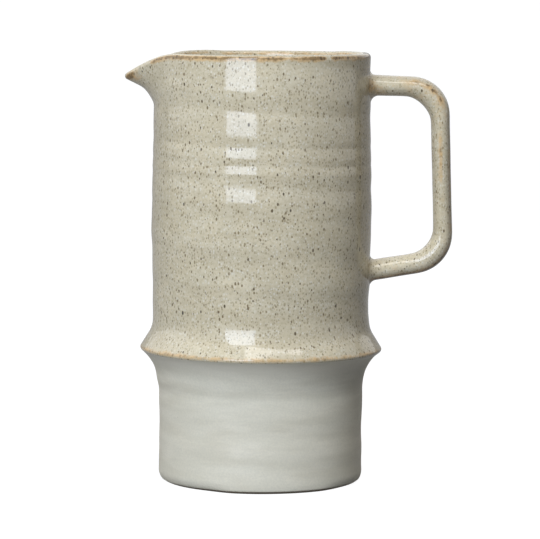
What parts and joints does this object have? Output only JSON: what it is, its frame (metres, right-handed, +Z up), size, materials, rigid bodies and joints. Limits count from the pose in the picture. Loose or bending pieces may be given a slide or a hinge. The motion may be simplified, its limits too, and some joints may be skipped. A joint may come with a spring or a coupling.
{
  "type": "jug",
  "caption": "Tall straight-sided stoneware jug with a sharp collar above a narrower base, a pulled pouring spout and a square-cornered loop handle. It stands on a foot ring.",
  "frame": {"origin": "on the jug's own axis, at the level it stands on", "axes": "+Z up through the mouth, +X towards the handle, -X towards the spout, +Y across"},
  "size_m": [0.1603, 0.118, 0.21],
  "materials": {
    "bare_clay": "bare fired stoneware, dry and slightly rough",
    "matt_glaze": "satin-matt grey-white glaze over faint throwing bands",
    "speckled_glaze": "glossy beige-grey glaze with iron speckles and small pits",
    "rim_glaze": "glossy glaze breaking to ochre brown along the edge"
  },
  "bodies": {
    "root": {"foot_ring": "bare_clay", "base_floor": "bare_clay", "base_wall": "matt_glaze", "collar": "speckled_glaze", "body_wall": "speckled_glaze", "rim": "rim_glaze", "spout": "speckled_glaze", "handle": "speckled_glaze", "upper_joint_coil": "speckled_glaze", "lower_joint_coil": "speckled_glaze"}
  },
  "joints": []
}
